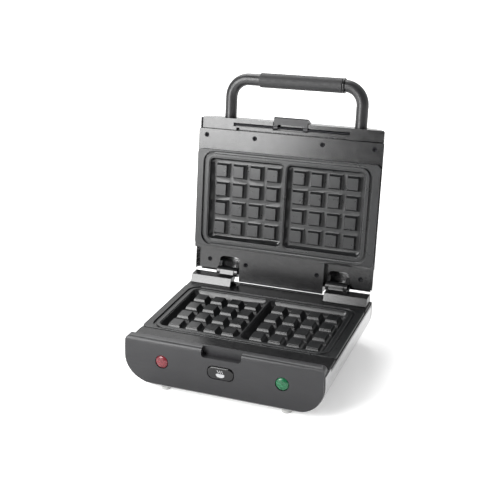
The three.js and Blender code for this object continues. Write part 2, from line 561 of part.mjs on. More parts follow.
function lidFrame() {
  const top = LID_FRAME + FRAME_THICKNESS;
  const inside = lidHalf - SHEET - CLEAR;
  const plateEdge = HALF_DEPTH + 1;
  const step = FRAME_THICKNESS;
  let frame = box(-lidHalf, lidHalf, FRAME_FRONT, plateEdge + step, LID_FRAME, top)
    .add(box(-CENTRE_HALF, CENTRE_HALF, plateEdge, CENTRE_BACK, LID_FRAME, top))
    // front wall behind the front panel
    .add(box(-inside + 22, inside - 22, FRAME_FRONT, FRAME_FRONT + step, LID_FRAME, LID_BAND + 5))
    // back wall of the centre section
    .add(box(-CENTRE_HALF, CENTRE_HALF, CENTRE_BACK - step, CENTRE_BACK, LID_FRAME, REAR_STRIP + step));
  for (const [, side] of both) {
    const [s0, s1] = sideSpan(side, CENTRE_HALF - step, inside);
    const [w0, w1] = sideSpan(side, CENTRE_HALF - step, CENTRE_HALF);
    const [c0, c1] = sideSpan(side, BARREL_IN - EAR - EAR_PLAY, BARREL_OUT + EAR + EAR_PLAY);
    frame = frame
      .add(box(s0, s1, plateEdge, plateEdge + step, LID_FRAME, REAR_STRIP + step))
      .add(box(s0, s1, plateEdge, LID_BACK - 1, REAR_STRIP, REAR_STRIP + step))
      .add(box(w0, w1, plateEdge, CENTRE_BACK, LID_FRAME, REAR_STRIP + step))
      .subtract(prism('z', roundRect((c0 + c1) / 2, ARCH_FRONT + 30, (c1 - c0) / 2, 30, 6),
        LID_FRAME + 3, LID_TOP, 4));
  }
  for (const [, side] of both) {
    for (const ear of [BARREL_IN - EAR - EAR_PLAY, BARREL_OUT + EAR_PLAY]) {
      const [e0, e1] = sideSpan(side, ear, ear + EAR);
      const web = polygon([[HINGE_Y - BARREL_RADIUS, HINGE_Z], [HINGE_Y + BARREL_RADIUS, HINGE_Z],
        [HINGE_Y + 3, REAR_STRIP + step], [HINGE_Y - 12, REAR_STRIP + step], [HINGE_Y - 12, REAR_STRIP]]);
      frame = frame.add(prism('x', web, e0, e1))
        .add(rod('x', HINGE_Y, HINGE_Z, BARREL_RADIUS - 0.3, e0, e1));
    }
    // bridges from the ears to the centre section and the side strip
    const [a0, a1] = sideSpan(side, CENTRE_HALF - 1, BARREL_IN - 0.5);
    const [b0, b1] = sideSpan(side, BARREL_OUT + 0.5, BARREL_OUT + EAR + 3);
    frame = frame.add(box(a0, a1, HINGE_Y - 12, HINGE_Y + 3, REAR_STRIP, REAR_STRIP + step))
      .add(box(b0, b1, HINGE_Y - 12, LID_BACK - 1, REAR_STRIP, REAR_STRIP + step));
    const [p0, p1] = sideSpan(side, BARREL_IN - EAR - 1.2, BARREL_OUT + EAR + 1);
    frame = frame.subtract(rod('x', HINGE_Y, HINGE_Z, PIN_RADIUS + BORE_CLEAR, p0, p1, 6));
  }
  frame = frame.subtract(prism('z', roundRect(0, 0, PAN_HALF_X + 1.5, PAN_HALF_Y + 1.5, 9), 0, top + 1, 4));
  for (const screw of lidScrews()) {
    frame = frame
      .subtract(rod('z', screw.x, screw.y, SCREW_SHANK + BORE_CLEAR, 0, 100, 4))
      .subtract(rod('z', screw.x, screw.y, SCREW_HEAD + BORE_CLEAR, screw.face - 1,
        screw.face + 3 * SCREW_SINK, 4));
  }
  const inner = prism('y', lidOutline(SHEET + CLEAR, 40), FAR_FRONT, 120, 8);
  return frame.subtract(box(-FAR, FAR, -FAR, FAR, top, FAR))
    .add(frame.subtract(box(-FAR, FAR, -FAR, FAR, 0, top - 0.01)).intersect(inner));
}

function lidScrews() {
  const front = FRAME_FRONT + 7.5;
  const rear = HALF_DEPTH + 19.1;
  const places = [[-105, front, LID_FRAME], [-42.5, front, LID_FRAME],
    [42.5, front, LID_FRAME], [105, front, LID_FRAME], [-98, rear, REAR_STRIP],
    [-46, rear, LID_FRAME], [46, rear, LID_FRAME], [98, rear, REAR_STRIP]];
  return places.map(([x, y, face]) => ({ x, y, face }));
}

// Countersunk head down, shank up.
function screw() {
  return turned([[0, -0.6], [SCREW_HEAD - 0.4, -0.6], [SCREW_HEAD, 0], [SCREW_HEAD, 0.6],
    [SCREW_SHANK, 0.9], [SCREW_SHANK, SCREW_LENGTH], [0, SCREW_LENGTH]], 8);
}

function lidRearPanel() {
  const inset = SHEET + CLEAR;
  const front = LID_BACK - 0.7;
  let panel = prism('y', lidOutline(inset, 40), front, front + 3, 8)
    .subtract(box(-FAR, FAR, -FAR, FAR, 0, REAR_STRIP + FRAME_THICKNESS + CLEAR));
  for (const [, side] of both) {
    const [c0, c1] = sideSpan(side, BARREL_IN - EAR - 1, BARREL_OUT + EAR + 1);
    panel = panel.subtract(box(c0, c1, 0, FAR, 0, LID_TOP - 8));
  }
  return panel;
}

// ---------------------------------------------------------------- handle
function handleTube() {
  const path = new THREE.CurvePath();
  const at = (x, y) => new THREE.Vector3(x, y, 0);
  const bend = (side, from, to) => {
    const arc = new THREE.Curve();
    arc.getPoint = (t, target = new THREE.Vector3()) => {
      const angle = from + (to - from) * t;
      return target.set(side * (HANDLE_X - HANDLE_BEND) + HANDLE_BEND * Math.cos(angle),
        HANDLE_Y + HANDLE_BEND + HANDLE_BEND * Math.sin(angle), 0);
    };
    return arc;
  };
  path.add(new THREE.LineCurve3(at(-HANDLE_X, HANDLE_END), at(-HANDLE_X, HANDLE_Y + HANDLE_BEND)));
  path.add(bend(-1, Math.PI, 1.5 * Math.PI));
  const straight = HANDLE_X - HANDLE_BEND;
  path.add(new THREE.LineCurve3(at(-straight, HANDLE_Y), at(straight, HANDLE_Y)));
  path.add(bend(1, -0.5 * Math.PI, 0));
  path.add(new THREE.LineCurve3(at(HANDLE_X, HANDLE_Y + HANDLE_BEND), at(HANDLE_X, HANDLE_END)));
  const section = disc(0, 0, TUBE_RADIUS);
  section.holes.push(disc(0, 0, TUBE_RADIUS - TUBE_WALL));
  let tube = solid(new THREE.ExtrudeGeometry(section,
    { steps: 44, extrudePath: path, bevelEnabled: false, curveSegments: 6 })).translate([0, 0, HANDLE_Z]);
  for (const [, side] of both) {
    tube = tube
      .add(rod('y', side * HANDLE_X, HANDLE_Z, TUBE_RADIUS - TUBE_WALL / 2,
        HANDLE_END - TUBE_PLUG, HANDLE_END, 6))
      .subtract(rod('y', side * HANDLE_X, HANDLE_Z, BOLT_RADIUS + 0.4,
        HANDLE_END - TUBE_PLUG - 2, HANDLE_END + 1, 4));
  }
  return tube;
}

function sleeve(radius, from, to) {
  return rod('x', HANDLE_Y, HANDLE_Z, radius, from, to)
    .subtract(rod('x', HANDLE_Y, HANDLE_Z, TUBE_RADIUS + CLEAR, from - 1, to + 1));
}

const BRACKET_BACK = HANDLE_END + CLEAR + BRACKET_THICKNESS;

function handleBracket() {
  const reach = HANDLE_X + 12;
  let bracket = box(-reach, reach, HANDLE_END + CLEAR, BRACKET_BACK, HANDLE_Z - 6, HANDLE_Z + 6);
  for (const [, side] of both) {
    bracket = bracket.subtract(rod('y', side * HANDLE_X, HANDLE_Z, BOLT_RADIUS + 0.4, FAR_FRONT, 0, 4));
  }
  return bracket;
}

function handleBolt() {
  return rod('y', 0, 0, BOLT_RADIUS, HANDLE_END - TUBE_PLUG, BRACKET_BACK + 1, 4)
    .add(rod('y', 0, 0, BOLT_RADIUS + 1.7, BRACKET_BACK + CLEAR, BRACKET_BACK + 3.5, 3));
}

// ---------------------------------------------------------------- latch
// Drawn about its rod: a finger wedge in front of the lid, on two arms that turn on the rod.
function latchFlap() {
  const out = -LATCH_REACH;
  const inner = -4;
  const behind = LID_FACE - LATCH_Y - 1.3 * CLEAR;
  const wedge = polygon([[inner, -2.3], [out + 1, -2.3], [out, -1.4], [out, 1.8],
    [behind - 0.7, LATCH_RISE], [behind, LATCH_RISE], [behind, 2.2], [inner, 1.2]]);
  let flap = prism('x', wedge, -LATCH_HALF, LATCH_HALF);
  for (const [, side] of both) {
    const [x0, x1] = sideSpan(side, LATCH_HALF - LATCH_ARM, LATCH_HALF);
    flap = flap.add(box(x0, x1, inner - 1, 0, -1.4, 1.1))
      .add(rod('x', 0, 0, LATCH_HUB, x0, x1, 6))
      .subtract(rod('x', 0, 0, LATCH_ROD + BORE_CLEAR, x0 - 1, x1 + 1, 5));
  }
  return flap;
}

// ---------------------------------------------------------------- controls
function lampLens() {
  return turned([[0, -2], [LAMP_RADIUS - 1.2, -2], [LAMP_RADIUS - 1.2, 3], [LAMP_RADIUS, 3.4],
    [LAMP_RADIUS, 6.4], [LAMP_RADIUS - 1, 7.4], [LAMP_RADIUS - 4, 8.1], [0, 8.4]], 14)
    .rotate([90, 0, 0]);
}

function lampHolder() {
  return turned([[0, 0], [5.4, 0], [5.4, 9], [3, 9], [3, 11], [0, 11]], 12).rotate([90, 0, 0]);
}

const FACE_AT_BUTTON = PANEL_TOP_FACE - PANEL_BELLY;
const CAP_FRONT = FACE_AT_BUTTON - 0.8;
const CAP_BACK = CAP_FRONT + 6.5;
const SWITCH_FRONT = CAP_BACK + BUTTON_TRAVEL + 6;

function buttonCap() {
  const cap = roundRect(0, BUTTON_HEIGHT, BUTTON_WIDTH / 2, BUTTON_TALL / 2, BUTTON_TALL / 2 - 0.8);
  const crown = roundRect(0, BUTTON_HEIGHT, BUTTON_WIDTH / 2 - 1, BUTTON_TALL / 2 - 1,
    BUTTON_TALL / 2 - 1.8);
  return prism('y', cap, CAP_FRONT + 0.8, CAP_BACK, 5)
    .add(prism('y', crown, CAP_FRONT, CAP_BACK - 2, 5))
    .add(rod('y', 0, BUTTON_HEIGHT, 2, CAP_BACK - 1, SWITCH_FRONT - BUTTON_TRAVEL - 0.4, 4));
}

function buttonSpring() {
  const turns = 4;
  const helix = new THREE.Curve();
  const length = SWITCH_FRONT - CAP_BACK - 2;
  helix.getPoint = (t, target = new THREE.Vector3()) => target.set(
    3.6 * Math.cos(2 * Math.PI * turns * t), length * t, 3.6 * Math.sin(2 * Math.PI * turns * t));
  return solid(new THREE.ExtrudeGeometry(disc(0, 0, 0.45),
    { steps: 40, extrudePath: helix, bevelEnabled: false, curveSegments: 2 }));
}

// ---------------------------------------------------------------- assembly
const product = new THREE.Group();
const base = new THREE.Group();
const lid = new THREE.Group();
const lidParts = new THREE.Group();
product.add(base, lid);
lid.add(lidParts);
lid.position.set(0, HINGE_Y, HINGE_Z);
lid.rotation.x = -THREE.MathUtils.degToRad(OPEN_ANGLE);
lidParts.position.set(0, -HINGE_Y, -HINGE_Z);

const lowerPan = FLANGE_TOP + PAN_BOTTOM;
const upperPan = FLANGE_TOP + PLATE_GAP - PAN_BOTTOM;
const trayFloor = lowerPan - 2 * HEATER_RADIUS - 7;
const trayCeiling = upperPan + 2 * HEATER_RADIUS + 4;

base.add(
  part('base_shell', baseShell(), STEEL),
  part('front_panel', frontPanel(), GREY_PLASTIC),
  part('deck_frame', deckFrame(), BLACK_PLASTIC),
  part('rear_panel', rearPanel(), BLACK_PLASTIC),
  part('cord_gland', cordGland().rotate([-90, 0, 0]), BLACK_PLASTIC,
    GLAND_X, BASE_BACK + CLEAR, GLAND_Z),
  part('lower_grill_plate', grillPlate(LOWER_FLANGE), NONSTICK, 0, 0, FLANGE_TOP),
  part('lower_heating_element', heater(), DARK_STEEL, 0, 0, lowerPan - CLEAR - HEATER_RADIUS),
  part('lower_heat_shield', tray(trayFloor, lowerPan - CLEAR), STEEL),
  part('thermostat', turned([[0, 0], [8, 0], [8, 5], [5, 5], [5, 8], [0, 8]], 12), WHITE_PLASTIC,
    0, 0, lowerPan - CLEAR - 8),
  part('thermal_fuse', rod('x', 0, 0, 2.2, -8, 8, 4), WHITE_PLASTIC, 34, 0, lowerPan - CLEAR - 3),
  part('terminal_block', box(-14, 14, -7, 7, 0, 11), WHITE_PLASTIC, GLAND_X + 24, BASE_BACK - 18,
    SHELL_BOTTOM + SHEET + CLEAR),
  part('power_switch', box(-9, 9, 0, 9, -6, 6), WHITE_PLASTIC, 0, SWITCH_FRONT, BUTTON_HEIGHT),
  part('push_button', buttonCap(), GLOSS_BLACK),
  part('button_spring', buttonSpring(), DARK_STEEL, 0, CAP_BACK + 1, BUTTON_HEIGHT),
);

for (const [name, side] of both) {
  const lens = side < 0 ? ['red_lamp', RED_LENS] : ['green_lamp', GREEN_LENS];
  base.add(
    part(`${lens[0]}_lens`, lampLens(), lens[1],
      side * LAMP_X, FACE_AT_BUTTON + 7, LAMP_HEIGHT),
    part(`${lens[0]}_holder`, lampHolder(), WHITE_PLASTIC,
      side * LAMP_X, FACE_AT_BUTTON + 20.5, LAMP_HEIGHT),
    part(`${name}_hinge_block`, hingeBlock(side), BLACK_PLASTIC),
    part(`${name}_hinge_pin`, hingePin(side), DARK_STEEL),
  );
  for (const [end, y] of [['front', FOOT_FRONT], ['rear', FOOT_BACK]]) {
    base.add(part(`${end}_${name}_foot`, turned([[0, 0], [FOOT_RADIUS - 1, 0], [FOOT_RADIUS - 0.4, 0.8],
      [FOOT_RADIUS, SHELL_BOTTOM - CLEAR], [0, SHELL_BOTTOM - CLEAR]], 14), RUBBER, side * FOOT_X, y, 0));
  }
}

lidParts.add(
  part('lid_shell', lidShell(), STEEL),
  part('lid_front_panel', lidFrontPanel(), GREY_PLASTIC),
  part('lid_rear_panel', lidRearPanel(), BLACK_PLASTIC),
  part('lid_frame', lidFrame(), BLACK_PLASTIC),
  part('upper_grill_plate', grillPlate(UPPER_FLANGE).rotate([180, 0, 0]), NONSTICK,
    0, 0, FLANGE_TOP + PLATE_GAP),
  part('upper_heating_element', heater(), DARK_STEEL, 0, 0, upperPan + CLEAR + HEATER_RADIUS),
  part('upper_heat_shield',
    tray(-trayCeiling, -upperPan - CLEAR).rotate([180, 0, 0]).mirror([0, 1, 0]), STEEL),
  part('handle_tube', handleTube(), COATED_TUBE),
  part('handle_grip', sleeve(GRIP_RADIUS, GRIP_FROM, GRIP_TO), GREY_PLASTIC),
  part('grip_end_ring', sleeve(GRIP_RADIUS + 0.5, GRIP_TO + CLEAR, GRIP_TO + CLEAR + 2), BLACK_PLASTIC),
  part('handle_bracket', handleBracket(), STEEL),
  part('latch_flap', latchFlap(), GREY_PLASTIC, 0, LATCH_Y, LATCH_Z),
  part('latch_rod', rod('x', 0, 0, LATCH_ROD, -LATCH_ROD_HALF, LATCH_ROD_HALF, 5), STEEL,
    0, LATCH_Y, LATCH_Z),
);
for (const [name, side] of both) {
  lidParts.add(part(`${name}_handle_bolt`, handleBolt(), DARK_STEEL, side * HANDLE_X, 0, HANDLE_Z));
}
lidScrews().forEach(({ x, y, face }, index) => {
  lidParts.add(part(`lid_screw_${index + 1}`, screw(), DARK_STEEL, x, y, face + SCREW_SINK));
});

// Origin: the middle of the footprint, on the table.
product.updateMatrixWorld(true);
const bounds = new THREE.Box3().setFromObject(product, true);
const middle = bounds.getCenter(new THREE.Vector3());
const group = new THREE.Group();
group.add(product);
product.position.set(-middle.x, -middle.y, -bounds.min.z);
group.updateMatrixWorld(true);

export default group;
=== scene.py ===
# Looks of a two-slice waffle maker, standing open. Metres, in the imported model's row frame:
# +Z up, +X to the user's right, -Y towards the user.
import math

import bmesh
import bpy
from mathutils import Matrix, Vector
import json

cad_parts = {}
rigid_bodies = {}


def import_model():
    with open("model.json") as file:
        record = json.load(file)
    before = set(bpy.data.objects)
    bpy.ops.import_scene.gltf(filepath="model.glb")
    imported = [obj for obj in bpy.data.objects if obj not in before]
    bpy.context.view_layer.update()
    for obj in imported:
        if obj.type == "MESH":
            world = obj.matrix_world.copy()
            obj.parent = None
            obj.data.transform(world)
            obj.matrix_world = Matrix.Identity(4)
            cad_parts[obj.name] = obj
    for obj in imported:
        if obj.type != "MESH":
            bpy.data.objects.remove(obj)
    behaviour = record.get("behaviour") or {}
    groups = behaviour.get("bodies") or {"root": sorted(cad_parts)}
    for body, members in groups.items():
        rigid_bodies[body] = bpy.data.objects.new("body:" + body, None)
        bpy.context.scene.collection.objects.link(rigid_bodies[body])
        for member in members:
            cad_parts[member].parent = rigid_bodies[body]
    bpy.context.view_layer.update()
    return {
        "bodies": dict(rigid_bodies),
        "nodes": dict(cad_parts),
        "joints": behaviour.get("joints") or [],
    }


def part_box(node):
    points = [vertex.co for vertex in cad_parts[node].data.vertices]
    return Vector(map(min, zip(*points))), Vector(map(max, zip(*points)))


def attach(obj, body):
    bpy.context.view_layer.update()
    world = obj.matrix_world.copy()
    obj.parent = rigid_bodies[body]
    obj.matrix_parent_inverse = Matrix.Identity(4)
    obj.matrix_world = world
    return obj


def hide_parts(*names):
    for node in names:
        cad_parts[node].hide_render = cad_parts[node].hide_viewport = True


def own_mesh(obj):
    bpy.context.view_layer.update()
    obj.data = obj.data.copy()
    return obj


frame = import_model()
NODES = frame["nodes"]
JOINTS = {joint["name"]: joint for joint in frame["joints"]}
MM = 0.001
WELD = 2e-6                       # corners nearer than this, in metres, are one
FLAT = math.radians(0.4)          # faces that turn less than this are one

# ---------------------------------------------------------------- camera
AZIMUTH = math.radians(21.74)
ELEVATION = math.radians(22.44)
ROLL = math.radians(-0.98)
AIM = Vector((-0.0816, 0.1670, 0.0530))
DISTANCE = 1.2693
LENS = 67.25


def place_camera():
    data = bpy.data.cameras.new("studio_camera")
    data.lens = LENS
    data.clip_start = 0.05
    data.clip_end = 40
    camera = bpy.data.objects.new("studio_camera", data)
    bpy.context.scene.collection.objects.link(camera)
    back = Vector((math.sin(AZIMUTH) * math.cos(ELEVATION),
                   -math.cos(AZIMUTH) * math.cos(ELEVATION), math.sin(ELEVATION)))
    level = Vector((math.cos(AZIMUTH), math.sin(AZIMUTH), 0))
    raised = back.cross(level)
    right = level * math.cos(ROLL) + raised * math.sin(ROLL)
    up = back.cross(right)
    turn = Matrix((right, up, back)).transposed().to_4x4()
    camera.matrix_world = Matrix.Translation(AIM + back * DISTANCE) @ turn
    bpy.context.scene.camera = camera


place_camera()

# ---------------------------------------------------------------- nodes and colours


def linear(hex_colour):
    """sRGB hex to the linear colour that shaders take."""
    channels = [int(hex_colour[i:i + 2], 16) / 255 for i in (1, 3, 5)]
    return tuple(c / 12.92 if c <= 0.04045 else ((c + 0.055) / 1.055) ** 2.4
                 for c in channels) + (1.0,)


def add(tree, kind, inputs=None, **settings):
    """Adds a node; an input is a value or another node's output."""
    node = tree.nodes.new(kind)
    for name, value in settings.items():
        setattr(node, name, value)
    for name, value in (inputs or {}).items():
        if isinstance(value, bpy.types.NodeSocket):
            tree.links.new(value, node.inputs[name])
        else:
            node.inputs[name].default_value = value
    return node


def per_mm(size):
    """Texture scale that makes one feature about this many millimetres."""
    return 1 / (size * MM)


def start(name, colour, roughness, **sockets):
    """A new material and its shader, with the constants on the shader's own sockets."""
    made = bpy.data.materials.new(name)
    made.use_nodes = True
    shader = made.node_tree.nodes["Principled BSDF"]
    shader.inputs["Base Color"].default_value = linear(colour)
    shader.inputs["Roughness"].default_value = roughness
    for socket, value in sockets.items():
        shader.inputs[socket.replace("_", " ")].default_value = value
    return made, made.node_tree, shader


def noise(tree, size, detail=3.0, stretch=(1, 1, 1)):
    """Noise in the piece's own space, with features of about size millimetres."""
    place = add(tree, "ShaderNodeTexCoord")
    scaled = add(tree, "ShaderNodeMapping", {"Vector": place.outputs["Object"], "Scale": stretch})
    return add(tree, "ShaderNodeTexNoise",
               {"Vector": scaled.outputs["Vector"], "Scale": per_mm(size), "Detail": detail})


def grain(tree, shader, size, depth, detail=2.0, stretch=(1, 1, 1)):
    """Bump of the given depth in millimetres."""
    height = noise(tree, size, detail, stretch)
    bump = add(tree, "ShaderNodeBump", {"Height": height.outputs["Fac"], "Strength": 1.0,
                                        "Distance": depth * MM})
    tree.links.new(bump.outputs["Normal"], shader.inputs["Normal"])
    return height


def tone(tree, shader, size, dark, light, detail=4.0, stretch=(1, 1, 1)):
    """Slow drift between two close colours."""
    drift = noise(tree, size, detail, stretch)
    share = add(tree, "ShaderNodeMapRange",
                {"Value": drift.outputs["Fac"], "From Min": 0.3, "From Max": 0.7})
    mix = add(tree, "ShaderNodeMix", {"Factor": share.outputs["Result"]}, data_type="RGBA")
    mix.inputs[6].default_value = linear(dark)
    mix.inputs[7].default_value = linear(light)
    tree.links.new(mix.outputs[2], shader.inputs["Base Color"])
    return drift


def sheen_drift(tree, shader, size, low, high, detail=4.0, stretch=(1, 1, 1)):
    """Roughness that wanders between two values."""
    drift = noise(tree, size, detail, stretch)
    share = add(tree, "ShaderNodeMapRange", {"Value": drift.outputs["Fac"], "From Min": 0.25,
                                             "From Max": 0.75, "To Min": low, "To Max": high})
    tree.links.new(share.outputs["Result"], shader.inputs["Roughness"])
    return drift


# ---------------------------------------------------------------- materials
def nonstick_coating():
    # PTFE sprayed on die-cast aluminium: a satin film with the fine orange peel of spraying.
    made, tree, shader = start("nonstick_coated_cast_aluminium", "#1b1c1d", 0.34, IOR=1.5)
    tone(tree, shader, 14, "#191a1b", "#1e1f20")
    sheen_drift(tree, shader, 9, 0.26, 0.34)
    grain(tree, shader, 0.9, 0.03, 3)
    return made


def moulded_abs(name, dark, light, low, high, ior=1.45):
    # ABS moulded in a spark-eroded tool: an even satin, drawn at 0.5 mm where the real one is 0.1.
    made, tree, shader = start(name, dark, low, IOR=ior)
    tone(tree, shader, 25, dark, light)
    sheen_drift(tree, shader, 6, low, high)
    grain(tree, shader, 0.5, 0.018, 2)
    return made


def brushed_stainless():
    # 430 stainless sheet, brushed along its length: long hairlines across a bright satin.
    made, tree, shader = start("brushed_stainless_steel", "#bcbcbd", 0.24, Metallic=1.0)
    tone(tree, shader, 30, "#b9b9ba", "#bfbfbf", 2)
    sheen_drift(tree, shader, 0.6, 0.22, 0.30, 3, (1, 0.012, 1))
    grain(tree, shader, 0.5, 0.004, 2, (1, 0.012, 1))
    return made


def plain_metal(name, dark, light, low, high, size=3.0, depth=0.006):
    made, tree, shader = start(name, dark, low, Metallic=1.0)
    tone(tree, shader, size * 3, dark, light)
    sheen_drift(tree, shader, size, low, high)
    grain(tree, shader, size / 3, depth)
    return made


def powder_coat():
    # Polyester powder baked on steel tube: satin, with a soft orange peel about 2 mm across.
    made, tree, shader = start("powder_coated_steel_tube", "#262627", 0.36, IOR=1.5)
    tone(tree, shader, 20, "#242425", "#2a2a2b")
    sheen_drift(tree, shader, 5, 0.30, 0.40)
    grain(tree, shader, 1.8, 0.03, 1)
    return made


def moulded_elastomer(name, dark, light):
    # Soft-touch elastomer: matt, with a fine leathery grain.
    made, tree, shader = start(name, dark, 0.6, IOR=1.5)
    tone(tree, shader, 8, dark, light)
    sheen_drift(tree, shader, 3, 0.5, 0.68)
    grain(tree, shader, 0.7, 0.03, 3)
    return made


def tinted_polycarbonate(name, dark, light):
    # Tinted polycarbonate lens: a clear gloss skin over colour that drifts a little at random.
    made, tree, shader = start(name, light, 0.26, IOR=1.5, Transmission_Weight=0.25)
    tone(tree, shader, 3, dark, light, 2)
    sheen_drift(tree, shader, 2, 0.22, 0.32)
    grain(tree, shader, 1.5, 0.02, 1)
    return made


def steatite():
    # Glazed steatite ceramic: off-white, a few pale speckles.
    made, tree, shader = start("glazed_steatite", "#dcd9d0", 0.3, IOR=1.6)
    tone(tree, shader, 2, "#d3cfc4", "#e4e2da")
    sheen_drift(tree, shader, 2, 0.22, 0.4)
    grain(tree, shader, 0.8, 0.02)
    return made


def pad_print():
    # Pale ink printed on the gloss cap: flat, with the soft mottle of a rubber pad.
    made, tree, shader = start("pad_printed_pale_ink", "#a9aaab", 0.5)
    tone(tree, shader, 1, "#a2a3a4", "#b1b2b3")
    sheen_drift(tree, shader, 1, 0.45, 0.6)
    grain(tree, shader, 0.4, 0.006)
    return made


NONSTICK = nonstick_coating()
STEEL = brushed_stainless()
GREY_ABS = moulded_abs("moulded_abs_dark_grey", "#222224", "#262628", 0.32, 0.40)
BLACK_PBT = moulded_abs("moulded_pbt_black", "#151516", "#19191a", 0.18, 0.24, 1.6)
GLOSS_ABS = moulded_abs("polished_abs_black", "#0d0d0e", "#121213", 0.07, 0.12)
WHITE_PA = moulded_abs("moulded_polyamide_white", "#d9d7d0", "#e2e0da", 0.4, 0.5)
ZINC = plain_metal("zinc_plated_steel", "#a9abae", "#bfc1c4", 0.25, 0.4)
BLACK_OXIDE = plain_metal("black_oxide_steel", "#1c1c1e", "#29292b", 0.35, 0.5, 1.2)
HEATER = plain_metal("oxidised_heater_sheath", "#4a4643", "#5d5752", 0.42, 0.6)
ALUMINISED = plain_metal("aluminised_steel", "#b7b8b8", "#c9caca", 0.35, 0.5, 5)
COATED_TUBE = powder_coat()
GRIP = moulded_elastomer("moulded_phenolic_grip", "#262627", "#2c2c2d")
FOOT = moulded_elastomer("moulded_rubber_pale_grey", "#a9a9a8", "#b9b9b7")
RED = tinted_polycarbonate("tinted_polycarbonate_red", "#6e1f28", "#872b35")
GREEN = tinted_polycarbonate("tinted_polycarbonate_green", "#0a5634", "#0f7447")
CERAMIC = steatite()
PAD_PRINT = pad_print()

# ---------------------------------------------------------------- carried-over solids
smooth_tree = bpy.data.node_groups.new("smooth_shading", "GeometryNodeTree")
smooth_tree.interface.new_socket("Geometry", in_out="INPUT", socket_type="NodeSocketGeometry")
smooth_tree.interface.new_socket("Geometry", in_out="OUTPUT", socket_type="NodeSocketGeometry")
smooth_in = add(smooth_tree, "NodeGroupInput")
smooth_set = add(smooth_tree, "GeometryNodeSetShadeSmooth", {"Geometry": smooth_in.outputs[0]})
add(smooth_tree, "NodeGroupOutput", {"Geometry": smooth_set.outputs[0]})


def soften(piece, radius, segments=2, limit=28):
    """Gives a moulded or pressed solid its small edge radius, in millimetres."""
    weld = piece.modifiers.new("weld", "WELD")
    weld.merge_threshold = WELD
    flat = piece.modifiers.new("flat_faces", "DECIMATE")
    flat.decimate_type = "DISSOLVE"
    flat.angle_limit = FLAT
    edge = piece.modifiers.new("edge_radius", "BEVEL")
    edge.width = radius * MM
    edge.segments = segments
    edge.limit_method = "ANGLE"
    edge.angle_limit = math.radians(limit)
    shade_smooth(piece)


def shade_smooth(piece):
    """Smooth shading that keeps flat faces looking flat."""
    shade = piece.modifiers.new("smooth", "NODES")
    shade.node_group = smooth_tree
    normals = piece.modifiers.new("normals", "WEIGHTED_NORMAL")
    normals.keep_sharp = True


def finish_node(name, material, radius=0.3, segments=2):
    """Material and edge radius, in millimetres, of a solid carried over from the CAD model."""
    node = NODES[name]
    node.data.materials.clear()
    node.data.materials.append(material)
    soften(node, radius, segments)


finish_node("base_shell", STEEL, 0.35)
finish_node("deck_frame", BLACK_PBT, 0.4)
finish_node("rear_panel", BLACK_PBT, 0.5)
finish_node("cord_gland", BLACK_PBT, 0.4)
for heater in ("lower_heating_element", "upper_heating_element"):
    finish_node(heater, HEATER, 0.2)
for shield in ("lower_heat_shield", "upper_heat_shield"):
    finish_node(shield, ALUMINISED, 0.2)
for ceramic in ("thermostat", "thermal_fuse", "terminal_block"):
    finish_node(ceramic, CERAMIC, 0.3)
finish_node("power_switch", WHITE_PA, 0.3)
for holder in ("red_lamp_holder", "green_lamp_holder"):
    finish_node(holder, WHITE_PA, 0.3)
for side in ("left", "right"):
    finish_node(side + "_hinge_block", BLACK_PBT, 0.6, 3)
    finish_node(side + "_hinge_pin", BLACK_OXIDE, 0.3)
    finish_node(side + "_handle_bolt", ZINC, 0.3)
finish_node("lid_shell", STEEL, 0.35)
finish_node("lid_front_panel", BLACK_PBT, 0.8, 3)
finish_node("lid_rear_panel", BLACK_PBT, 0.5)
finish_node("lid_frame", BLACK_PBT, 0.5, 3)
finish_node("handle_bracket", ZINC, 0.3)
finish_node("latch_flap", GREY_ABS, 0.6, 3)
finish_node("latch_rod", BLACK_OXIDE, 0.2)

# ---------------------------------------------------------------- drawn pieces
BODY = {name: body for name, node in NODES.items() for body, empty in frame["bodies"].items()
        if node.parent == empty}
HINGE = Vector(JOINTS["lid_hinge"]["pos_m"])
OPEN = math.radians(JOINTS["lid_hinge"]["range_deg"][1])
SHARP = math.radians(35)          # an edge that turns more than this can be rounded
# Sizes in millimetres
TUBE_RADIUS = 7.3
TUBE_LEG = 66.1                   # from the bar's middle line to the end of a leg
TUBE_BEND = 22
GRIP_BORE = 7.6
PLATE_RADIUS = 0.45               # of every outward edge of the cast plates
FACE_RADIUS = 3                   # most that the front panel's rim may be rounded
FACE_REACH = 7                    # how far back from its foremost point the outer face runs
BODY_CORNER = 34                  # how far in from the side a corner of the panel reaches
EDGE_BAND = 6                     # height of the bands along the panel's top and lower edge
NOTCH_DEPTH = 12
NOTCH_HALF = 24
LAMP_X = 69.5
LAMP_HALF = 9
LAMP_LOW = 26
LAMP_HIGH = 48
STEM_RADIUS = 2
STEM_START = 5.45                 # behind the front of the button's cap
STEM_LENGTH = 6.6
LIP_HALF = 54.5
LIP_SEAT = 7.6                    # from the hinge line back to the rear of the lid frame
STEAM = [0.9 + 0.38 * k for k in range(9)]        # heights along a stroke of the mark
OPENED = (Matrix.Translation(HINGE) @ Matrix.Rotation(-OPEN, 4, "X")
          @ Matrix.Translation(-HINGE))


def shut_box(name):
    """Box of a lid node in metres with the lid shut, where it lies square to the axes."""
    corners = [OPENED.inverted() @ NODES[name].matrix_world @ v.co
               for v in NODES[name].data.vertices]
    return (Vector([min(c[i] for c in corners) for i in range(3)]),
            Vector([max(c[i] for c in corners) for i in range(3)]))


def cad_box(name):
    """Lowest corner, highest corner and middle of a CAD node at rest."""
    low, high = (Vector(corner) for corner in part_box(name))
    return low, high, (low + high) / 2


